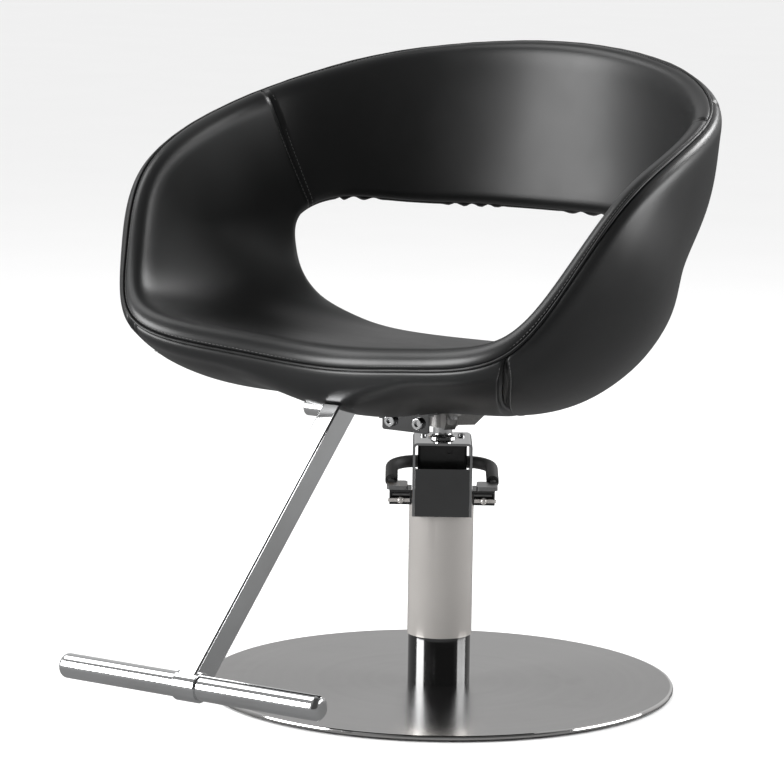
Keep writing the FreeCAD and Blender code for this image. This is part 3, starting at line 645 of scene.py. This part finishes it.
# %% The six panels
HALF_GAP = 0.004                        # in stations and in laps
rear_left, front_left = STATIONS - SEAM_REAR, STATIONS - SEAM_FRONT
PANELS = {
    "seat_lining": (-SEAM_BACK, SEAM_BACK, WINDOW_LAP, RIM_LAP, lining_relief,
                    ["seat_cushion", "right_arm_cushion", "left_arm_cushion"]),
    "back_lining": (SEAM_BACK, STATIONS - SEAM_BACK, WINDOW_LAP, RIM_LAP, lining_relief, ["back_cushion"]),
    "front_cover": (-SEAM_FRONT, SEAM_FRONT, RIM_LAP, 4 + WINDOW_LAP, front_relief, ["outer_front_panel"]),
    "right_cover": (SEAM_FRONT, SEAM_REAR, RIM_LAP, 4 + WINDOW_LAP, side_relief, ["outer_right_panel"]),
    "back_cover": (SEAM_REAR, rear_left, RIM_LAP, 4 + WINDOW_LAP, back_relief, ["outer_back_panel"]),
    "left_cover": (rear_left, front_left, RIM_LAP, 4 + WINDOW_LAP, side_relief, ["outer_left_panel"]),
}
for name, (q0, q1, lap0, lap1, relief, nodes) in PANELS.items():
    leaning = name.endswith("_cover")
    ends = q0 + HALF_GAP, q1 - HALF_GAP, lap0 + HALF_GAP, lap1 - HALF_GAP
    cover = sew_panel(name, *ends, relief, leaning)
    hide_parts(*nodes)
    print(name, len(cover.data.vertices), "points")

# %% [markdown]
# ## The rim welt
# The welt is a tube swept along the rim seam. A curve with a bevel could make it, but then
# it would need its own path; built from the skin function it can't leave the seam. It sits
# in the groove that the dipped edges leave, a millimetre proud of the skin beside it, and
# its thickness varies with the hand that fed it through the machine.

# %% A closed tube
def closed_tube(name, points, normals, radius, material, sides=10):
    """A tube round a closed line of points, with one radius per point."""
    ahead = np.roll(points, -1, 0) - np.roll(points, 1, 0)
    ahead /= np.linalg.norm(ahead, axis=1, keepdims=True)
    side = np.cross(ahead, normals)
    angles = np.linspace(0, 2 * math.pi, sides, endpoint=False)[None, :, None]
    spokes = np.cos(angles) * normals[:, None] + np.sin(angles) * side[:, None]
    rings = points[:, None] + radius[:, None, None] * spokes
    rows = len(points)
    i, j = np.meshgrid(np.arange(rows), np.arange(sides), indexing="ij")
    after, beside = (i + 1) % rows, (j + 1) % sides
    corners = [i * sides + j, i * sides + beside, after * sides + beside, after * sides + j]
    return mesh_object(name, rings.reshape(-1, 3), np.stack(corners, -1).reshape(-1, 4), material)


# %% The welt itself
WELT_RADIUS, WELT_SUNK = 0.0018, 0.0009
stations = np.linspace(0, STATIONS, 900, endpoint=False)
seam, out = skin(stations, RIM_LAP), skin_normals(stations, RIM_LAP)
wobble = WELT_RADIUS * (1 + 0.06 * np.sin(stations * 9.0) + 0.04 * np.sin(stations * 23.0 + 1))
welt = closed_tube("rim_welt", seam - out * WELT_SUNK, out, wobble, LEATHER)
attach(welt, "seat")
print("welt is", round(float(running_length(seam, 0)[-1]), 2), "m long")

# %% [markdown]
# ## Stitches
# Thread shows as short, plump dashes. Each dash is a capsule of thirty points, laid along a
# line on the skin and turned to follow it. One object holds a whole row, so thousands of
# stitches stay a few objects, and they are real geometry, not a bump in a picture.

# %% One stitch
STITCH_PITCH, STITCH_LENGTH, STITCH_RADIUS = 0.0052, 0.0038, 0.00042
STITCH_ENDS = [(-1.0, 0.25), (-0.75, 0.85), (0.0, 1.0), (0.75, 0.85), (1.0, 0.25)]    # place, width
STITCH_SIDES = 6


def stitch_shape():
    """Points of one stitch: along the seam, along the normal and sideways."""
    turns = np.linspace(0, 2 * math.pi, STITCH_SIDES, endpoint=False)
    return np.array([(end * STITCH_LENGTH / 2, math.cos(turn) * STITCH_RADIUS * wide,
                      math.sin(turn) * STITCH_RADIUS * wide)
                     for end, wide in STITCH_ENDS for turn in turns])


def stitch_faces():
    rings, n = len(STITCH_ENDS), STITCH_SIDES
    sides = [[i * n + j, i * n + (j + 1) % n, (i + 1) * n + (j + 1) % n, (i + 1) * n + j]
             for i in range(rings - 1) for j in range(n)]
    return sides + [list(range(n))[::-1], list(range((rings - 1) * n, rings * n))]


STITCH_POINTS, STITCH_FACES = stitch_shape(), stitch_faces()
print("one stitch has", len(STITCH_POINTS), "points and", len(STITCH_FACES), "faces")


# %% A row of stitches
def along(line, run, places):
    """Each coordinate of a line at some places along its length."""
    return np.stack([np.interp(places, run, line[:, k]) for k in range(3)], 1)


def stitch_row(name, stations, laps, sink):
    """A row of stitches along a line on the skin; returns how many."""
    stations = lean(stations, laps) if laps.max() > 2 else stations
    points, normals = soften(skin(stations, laps), laps), skin_normals(stations, laps)
    run = running_length(points, 0)
    count = int(run[-1] / STITCH_PITCH)
    places = (np.arange(count) + 0.5) * run[-1] / count
    centre, normal = along(points, run, places), along(normals, run, places)
    ahead = along(points, run, places + 0.001) - along(points, run, places - 0.001)
    ahead /= np.linalg.norm(ahead, axis=1, keepdims=True)
    side = np.cross(ahead, normal)
    forward, up, across = (STITCH_POINTS[None, :, k:k + 1] for k in range(3))
    vertices = (centre[:, None] + forward * ahead[:, None] + (up - sink) * normal[:, None]
                + across * side[:, None])
    first_points = range(0, count * len(STITCH_POINTS), len(STITCH_POINTS))
    faces = [[first + corner for corner in face] for first in first_points for face in STITCH_FACES]
    row = mesh_object(name, vertices.reshape(-1, 3), faces, THREAD)
    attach(row, "seat")
    return count


# %% Rows on the lining
LINE_POINTS = 300
round_ring = np.linspace(0, STATIONS, 1200)
made = stitch_row("rim_stitches", round_ring, np.full(1200, RIM_LAP - 0.07), 0.001)
lining_run = np.linspace(WINDOW_LAP + 0.1, RIM_LAP - 0.1, LINE_POINTS)
for side, seam_q, turn in (("right", SEAM_BACK, 1), ("left", STATIONS - SEAM_BACK, -1)):
    for edge, shift in (("front", -0.055), ("rear", 0.055)):
        line = np.full(LINE_POINTS, seam_q + shift * turn)
        made += stitch_row("back_seam_stitches_%s_%s" % (side, edge), line, lining_run, 0.0006)
print(made, "stitches on the lining")

# %% Rows on the outer covers
PLEATS_END = 2.05                       # the left seam's top is pleated, and has no stitches
cover_run = np.linspace(RIM_LAP + 0.12, 4 + WINDOW_LAP - 0.1, LINE_POINTS)
from_seam = 0.075 + 0.05 * bell(cover_run, 2.0, 0.25)       # the rows pass round the folds
for side, seam_q, turn, first in (("right", SEAM_FRONT, 1, 0), ("left", front_left, -1, PLEATS_END)):
    kept = cover_run > first
    for edge, shift in (("front", -1), ("side", 1)):
        line = (seam_q + from_seam * shift * turn)[kept]
        made += stitch_row("front_seam_stitches_%s_%s" % (side, edge), line, cover_run[kept], 0.0004)
for side, seam_q, shift in (("right", SEAM_REAR, -0.05), ("left", rear_left, 0.05)):
    line = np.full(LINE_POINTS, seam_q + shift)
    made += stitch_row("rear_seam_stitches_%s" % side, line, cover_run, 0.0006)
print(made, "stitches in all")

# %% [markdown]
# ## Floor
# The chair stands on a plain, pale floor. Chrome needs something dark to reflect, or it
# turns white, so the floor is darker to rays that bounce off a shiny surface than it is to
# the eye. A Light Path node tells the two apart.

# %% Floor
FLOOR_HALF_SIZE = 120.0
SEEN_IN_CHROME = 0.16


def floor():
    f = Finish("studio_floor")
    tone = f.noise(3.0, 2.0)
    pale = f.surface(base_color=f.mix(tone, grey(0.88), grey(0.9)), roughness=0.95, specular_ior_level=0.0)
    shade = f.node("ShaderNodeBsdfDiffuse", None, {"Color": grey(SEEN_IN_CHROME)})
    mirrored = f.node("ShaderNodeLightPath", output="Is Glossy Ray")
    full = Link(f, f.shader.outputs[0])
    both = f.node("ShaderNodeMixShader", None, {0: mirrored, 1: full, 2: shade})
    f.tree.links.new(both.socket, f.tree.nodes["Material Output"].inputs["Surface"])
    size = FLOOR_HALF_SIZE
    corners = [(-size, -size, 0), (size, -size, 0), (size, size, 0), (-size, size, 0)]
    plane = mesh_object("studio_floor", corners, [(0, 1, 2, 3)], pale)


floor()

# %% [markdown]
# ## Sky
# The sky plays the same trick as the floor. The background and dull surfaces see an even
# white, and shiny ones see a dark studio with a few pale patches. A patch is a soft-edged
# circle round one direction: the dot product with it, stretched between two angles.

# %% Directions seen from the camera
VIEW_TURN = 0.5798      # radians that the camera stands round from the chair's front


def view_direction(azimuth, elevation):
    """A direction given as degrees round from the camera's side, positive to the right, and up."""
    a, e = math.radians(azimuth), math.radians(elevation)
    side, depth = math.sin(a) * math.cos(e), math.cos(a) * math.cos(e)
    c, s = math.cos(VIEW_TURN), math.sin(VIEW_TURN)
    return (side * c + depth * s, side * s - depth * c, math.sin(e))


# %% Sky
DARK_STUDIO, WHITE_SKY = 0.07, 0.98
SKY_PATCHES = [  # azimuth, elevation, brightness, inner and outer half width in degrees
    (180, 10, 0.5, 20, 75),
    (-85, 30, 0.25, 20, 55),
    (100, 12, 0.2, 10, 45),
]


def sky():
    world = bpy.data.worlds.new("studio")
    bpy.context.scene.world = world
    f = Web(world)
    direction = f.node("ShaderNodeTexCoord", output="Generated")
    level = DARK_STUDIO
    for azimuth, elevation, brightness, inner, outer in SKY_PATCHES:
        inputs = {0: direction, 1: view_direction(azimuth, elevation)}
        facing = f.node("ShaderNodeVectorMath", {"operation": "DOT_PRODUCT"}, inputs, output="Value")
        edges = math.cos(math.radians(outer)), math.cos(math.radians(inner))
        level = level + brightness * f.spread(facing, *edges)
    mirrored = f.node("ShaderNodeLightPath", output="Is Glossy Ray")
    strength = level * mirrored + WHITE_SKY * (1 - mirrored)
    background = f.tree.nodes["Background"]
    f.plug(strength, background.inputs["Strength"])
    f.plug((1, 1, 1, 1), background.inputs["Color"])


sky()
print("sky has", len(SKY_PATCHES), "patches")

# %% [markdown]
# ## Soft boxes
# Four rectangular lamps give the leather and the chrome their highlights. Each is placed by
# the direction in which its reflection is wanted, so it can be moved without touching the
# others: one low at the left for the backrest, one high for the footrest's arm, and two at
# the right for the arms' inside and the rim.

# %% Soft boxes
CENTRE = (0.0, -0.1, 0.5)


def soft_box(name, azimuth, elevation, distance, size, brightness):
    """A rectangular lamp. Its power is worked out from the brightness of its face."""
    light = bpy.data.lights.new(name, "AREA")
    light.shape, light.size, light.size_y = "RECTANGLE", size[0], size[1]
    light.energy = brightness * math.pi * size[0] * size[1]
    lamp = bpy.data.objects.new(name, light)
    bpy.context.scene.collection.objects.link(lamp)
    toward = Vector(view_direction(azimuth, elevation))
    lamp.location = Vector(CENTRE) + toward * distance
    lamp.rotation_euler = toward.to_track_quat("Z", "Y").to_euler()


soft_box("left_box", -76, 11, 3.0, (1.8, 1.6), 12.0)
soft_box("upper_left_box", -113, 52, 3.0, (1.6, 1.6), 3.5)
soft_box("right_box", 92, 12, 3.2, (2.2, 1.1), 6.5)
soft_box("rear_right_box", 128, 34, 3.0, (0.9, 0.9), 15.0)

# %% [markdown]
# ## Camera
# A long lens from well back keeps the ellipse of the floor plate flat and the column's
# sides parallel, as in a catalogue. The lens comes from its focal length in picture widths.

# %% Camera
CAMERA_BACK, CAMERA_SIDE, CAMERA_UP = 4.7558, -0.06505, 1.1201
PITCH, ROLL = 0.1543, math.radians(0.862)
FOCAL_IN_WIDTHS, SENSOR = 4.84694, 36.0
lens = bpy.data.cameras.new("camera")
lens.sensor_width = SENSOR
lens.lens = FOCAL_IN_WIDTHS * SENSOR
camera = bpy.data.objects.new("camera", lens)
bpy.context.scene.collection.objects.link(camera)
bpy.context.scene.camera = camera
turn_cos, turn_sin = math.cos(VIEW_TURN), math.sin(VIEW_TURN)
camera.location = (CAMERA_SIDE * turn_cos + CAMERA_BACK * turn_sin,
                   CAMERA_SIDE * turn_sin - CAMERA_BACK * turn_cos, CAMERA_UP)
turn, lift = Matrix.Rotation(VIEW_TURN, 4, "Z"), Matrix.Rotation(math.pi / 2 - PITCH, 4, "X")
camera.rotation_euler = (turn @ lift @ Matrix.Rotation(ROLL, 4, "Z")).to_euler()
bpy.context.scene.view_settings.view_transform = "Standard"
print("lens", round(lens.lens, 1), "mm")
